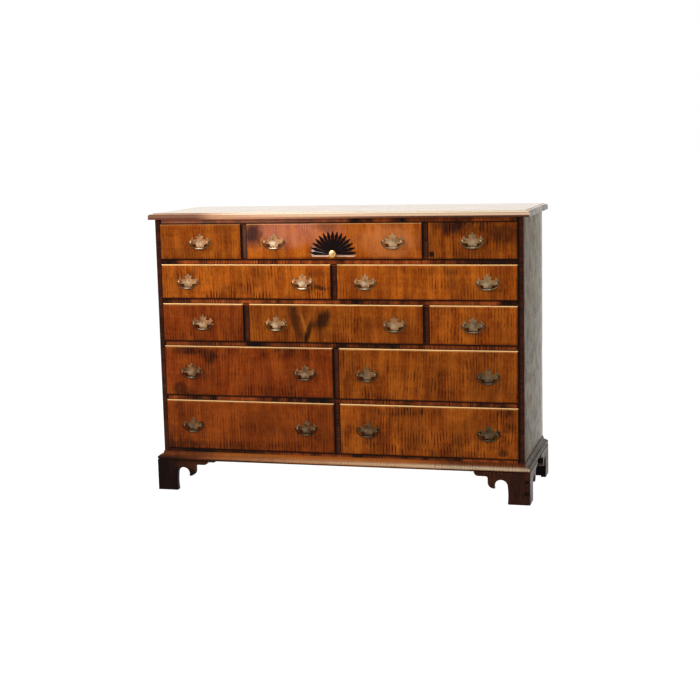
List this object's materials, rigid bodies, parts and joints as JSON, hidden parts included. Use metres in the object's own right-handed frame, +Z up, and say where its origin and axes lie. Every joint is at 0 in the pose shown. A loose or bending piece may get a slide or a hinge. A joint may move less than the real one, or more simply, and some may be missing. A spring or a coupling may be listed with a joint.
{
  "type": "chest of drawers",
  "caption": "Wide low chest of drawers in figured maple with lipped fronts, a carved fan, a moulded fixed top, brass bail pulls and bracket feet.",
  "frame": {"origin": "centre of the footprint on the floor, midway between the knob's crown and the back", "axes": "+Z up, -Y out of the drawer fronts, +X to the right as one faces the drawers"},
  "size_m": [1.652, 0.6122, 1.218],
  "materials": {
    "case_maple": "figured maple, shellac, worn satin",
    "front_maple": "tiger maple fronts, shellac, satin",
    "frame_maple": "darker tiger maple, shellac, satin",
    "inside_wood": "bare pine and poplar, aged",
    "aged_brass": "aged brass, rubbed bright on the high parts"
  },
  "bodies": {
    "case": {"top_board": "case_maple", "left_side": "case_maple", "right_side": "case_maple", "bottom_board": "inside_wood", "back_boards": "inside_wood", "stiles": "frame_maple", "front_rails": "frame_maple", "dividers": "frame_maple", "web_frames": "inside_wood", "drawer_guides": "inside_wood", "base_moulding": "frame_maple", "base_frame": "inside_wood", "front_left_foot": "frame_maple", "front_right_foot": "frame_maple", "rear_left_foot": "frame_maple", "rear_right_foot": "frame_maple"},
    "drawer_top_left": {"drawer_top_left": "front_maple", "pulls_top_left": "aged_brass"},
    "bail_top_left": {"bail_top_left": "aged_brass"},
    "drawer_top_center": {"drawer_top_center": "front_maple", "pulls_top_center": "aged_brass"},
    "bail_top_center_1": {"bail_top_center_1": "aged_brass"},
    "bail_top_center_2": {"bail_top_center_2": "aged_brass"},
    "drawer_top_right": {"drawer_top_right": "front_maple", "pulls_top_right": "aged_brass"},
    "bail_top_right": {"bail_top_right": "aged_brass"},
    "drawer_second_left": {"drawer_second_left": "front_maple", "pulls_second_left": "aged_brass"},
    "bail_second_left_1": {"bail_second_left_1": "aged_brass"},
    "bail_second_left_2": {"bail_second_left_2": "aged_brass"},
    "drawer_second_right": {"drawer_second_right": "front_maple", "pulls_second_right": "aged_brass"},
    "bail_second_right_1": {"bail_second_right_1": "aged_brass"},
    "bail_second_right_2": {"bail_second_right_2": "aged_brass"},
    "drawer_third_left": {"drawer_third_left": "front_maple", "pulls_third_left": "aged_brass"},
    "bail_third_left": {"bail_third_left": "aged_brass"},
    "drawer_third_center": {"drawer_third_center": "front_maple", "pulls_third_center": "aged_brass"},
    "bail_third_center_1": {"bail_third_center_1": "aged_brass"},
    "bail_third_center_2": {"bail_third_center_2": "aged_brass"},
    "drawer_third_right": {"drawer_third_right": "front_maple", "pulls_third_right": "aged_brass"},
    "bail_third_right": {"bail_third_right": "aged_brass"},
    "drawer_fourth_left": {"drawer_fourth_left": "front_maple", "pulls_fourth_left": "aged_brass"},
    "bail_fourth_left_1": {"bail_fourth_left_1": "aged_brass"},
    "bail_fourth_left_2": {"bail_fourth_left_2": "aged_brass"},
    "drawer_fourth_right": {"drawer_fourth_right": "front_maple", "pulls_fourth_right": "aged_brass"},
    "bail_fourth_right_1": {"bail_fourth_right_1": "aged_brass"},
    "bail_fourth_right_2": {"bail_fourth_right_2": "aged_brass"},
    "drawer_bottom_left": {"drawer_bottom_left": "front_maple", "pulls_bottom_left": "aged_brass"},
    "bail_bottom_left_1": {"bail_bottom_left_1": "aged_brass"},
    "bail_bottom_left_2": {"bail_bottom_left_2": "aged_brass"},
    "drawer_bottom_right": {"drawer_bottom_right": "front_maple", "pulls_bottom_right": "aged_brass"},
    "bail_bottom_right_1": {"bail_bottom_right_1": "aged_brass"},
    "bail_bottom_right_2": {"bail_bottom_right_2": "aged_brass"}
  },
  "joints": [
    {"name": "drawer_top_left_slide", "type": "slide", "parent": "case", "child": "drawer_top_left", "axis": [0, -1, 0], "range_m": [0, 0.4]},
    {"name": "bail_top_left_swing", "type": "hinge", "parent": "drawer_top_left", "child": "bail_top_left", "pos_m": [-0.592, -0.28575, 1.095], "axis": [-1, 0, 0], "range_deg": [0, 100]},
    {"name": "drawer_top_center_slide", "type": "slide", "parent": "case", "child": "drawer_top_center", "axis": [0, -1, 0], "range_m": [0, 0.4]},
    {"name": "bail_top_center_1_swing", "type": "hinge", "parent": "drawer_top_center", "child": "bail_top_center_1", "pos_m": [-0.2585, -0.28575, 1.095], "axis": [-1, 0, 0], "range_deg": [0, 100]},
    {"name": "bail_top_center_2_swing", "type": "hinge", "parent": "drawer_top_center", "child": "bail_top_center_2", "pos_m": [0.2585, -0.28575, 1.095], "axis": [-1, 0, 0], "range_deg": [0, 100]},
    {"name": "drawer_top_right_slide", "type": "slide", "parent": "case", "child": "drawer_top_right", "axis": [0, -1, 0], "range_m": [0, 0.4]},
    {"name": "bail_top_right_swing", "type": "hinge", "parent": "drawer_top_right", "child": "bail_top_right", "pos_m": [0.592, -0.28575, 1.095], "axis": [-1, 0, 0], "range_deg": [0, 100]},
    {"name": "drawer_second_left_slide", "type": "slide", "parent": "case", "child": "drawer_second_left", "axis": [0, -1, 0], "range_m": [0, 0.4]},
    {"name": "bail_second_left_1_swing", "type": "hinge", "parent": "drawer_second_left", "child": "bail_second_left_1", "pos_m": [-0.65325, -0.28575, 0.924], "axis": [-1, 0, 0], "range_deg": [0, 100]},
    {"name": "bail_second_left_2_swing", "type": "hinge", "parent": "drawer_second_left", "child": "bail_second_left_2", "pos_m": [-0.13625, -0.28575, 0.924], "axis": [-1, 0, 0], "range_deg": [0, 100]},
    {"name": "drawer_second_right_slide", "type": "slide", "parent": "case", "child": "drawer_second_right", "axis": [0, -1, 0], "range_m": [0, 0.4]},
    {"name": "bail_second_right_1_swing", "type": "hinge", "parent": "drawer_second_right", "child": "bail_second_right_1", "pos_m": [0.13625, -0.28575, 0.924], "axis": [-1, 0, 0], "range_deg": [0, 100]},
    {"name": "bail_second_right_2_swing", "type": "hinge", "parent": "drawer_second_right", "child": "bail_second_right_2", "pos_m": [0.65325, -0.28575, 0.924], "axis": [-1, 0, 0], "range_deg": [0, 100]},
    {"name": "drawer_third_left_slide", "type": "slide", "parent": "case", "child": "drawer_third_left", "axis": [0, -1, 0], "range_m": [0, 0.4]},
    {"name": "bail_third_left_swing", "type": "hinge", "parent": "drawer_third_left", "child": "bail_third_left", "pos_m": [-0.592, -0.28575, 0.7465], "axis": [-1, 0, 0], "range_deg": [0, 100]},
    {"name": "drawer_third_center_slide", "type": "slide", "parent": "case", "child": "drawer_third_center", "axis": [0, -1, 0], "range_m": [0, 0.4]},
    {"name": "bail_third_center_1_swing", "type": "hinge", "parent": "drawer_third_center", "child": "bail_third_center_1", "pos_m": [-0.2585, -0.28575, 0.7465], "axis": [-1, 0, 0], "range_deg": [0, 100]},
    {"name": "bail_third_center_2_swing", "type": "hinge", "parent": "drawer_third_center", "child": "bail_third_center_2", "pos_m": [0.2585, -0.28575, 0.7465], "axis": [-1, 0, 0], "range_deg": [0, 100]},
    {"name": "drawer_third_right_slide", "type": "slide", "parent": "case", "child": "drawer_third_right", "axis": [0, -1, 0], "range_m": [0, 0.4]},
    {"name": "bail_third_right_swing", "type": "hinge", "parent": "drawer_third_right", "child": "bail_third_right", "pos_m": [0.592, -0.28575, 0.7465], "axis": [-1, 0, 0], "range_deg": [0, 100]},
    {"name": "drawer_fourth_left_slide", "type": "slide", "parent": "case", "child": "drawer_fourth_left", "axis": [0, -1, 0], "range_m": [0, 0.4]},
    {"name": "bail_fourth_left_1_swing", "type": "hinge", "parent": "drawer_fourth_left", "child": "bail_fourth_left_1", "pos_m": [-0.65325, -0.28575, 0.534], "axis": [-1, 0, 0], "range_deg": [0, 100]},
    {"name": "bail_fourth_left_2_swing", "type": "hinge", "parent": "drawer_fourth_left", "child": "bail_fourth_left_2", "pos_m": [-0.13625, -0.28575, 0.534], "axis": [-1, 0, 0], "range_deg": [0, 100]},
    {"name": "drawer_fourth_right_slide", "type": "slide", "parent": "case", "child": "drawer_fourth_right", "axis": [0, -1, 0], "range_m": [0, 0.4]},
    {"name": "bail_fourth_right_1_swing", "type": "hinge", "parent": "drawer_fourth_right", "child": "bail_fourth_right_1", "pos_m": [0.13625, -0.28575, 0.534], "axis": [-1, 0, 0], "range_deg": [0, 100]},
    {"name": "bail_fourth_right_2_swing", "type": "hinge", "parent": "drawer_fourth_right", "child": "bail_fourth_right_2", "pos_m": [0.65325, -0.28575, 0.534], "axis": [-1, 0, 0], "range_deg": [0, 100]},
    {"name": "drawer_bottom_left_slide", "type": "slide", "parent": "case", "child": "drawer_bottom_left", "axis": [0, -1, 0], "range_m": [0, 0.4]},
    {"name": "bail_bottom_left_1_swing", "type": "hinge", "parent": "drawer_bottom_left", "child": "bail_bottom_left_1", "pos_m": [-0.65325, -0.28575, 0.295], "axis": [-1, 0, 0], "range_deg": [0, 100]},
    {"name": "bail_bottom_left_2_swing", "type": "hinge", "parent": "drawer_bottom_left", "child": "bail_bottom_left_2", "pos_m": [-0.13625, -0.28575, 0.295], "axis": [-1, 0, 0], "range_deg": [0, 100]},
    {"name": "drawer_bottom_right_slide", "type": "slide", "parent": "case", "child": "drawer_bottom_right", "axis": [0, -1, 0], "range_m": [0, 0.4]},
    {"name": "bail_bottom_right_1_swing", "type": "hinge", "parent": "drawer_bottom_right", "child": "bail_bottom_right_1", "pos_m": [0.13625, -0.28575, 0.295], "axis": [-1, 0, 0], "range_deg": [0, 100]},
    {"name": "bail_bottom_right_2_swing", "type": "hinge", "parent": "drawer_bottom_right", "child": "bail_bottom_right_2", "pos_m": [0.65325, -0.28575, 0.295], "axis": [-1, 0, 0], "range_deg": [0, 100]}
  ]
}
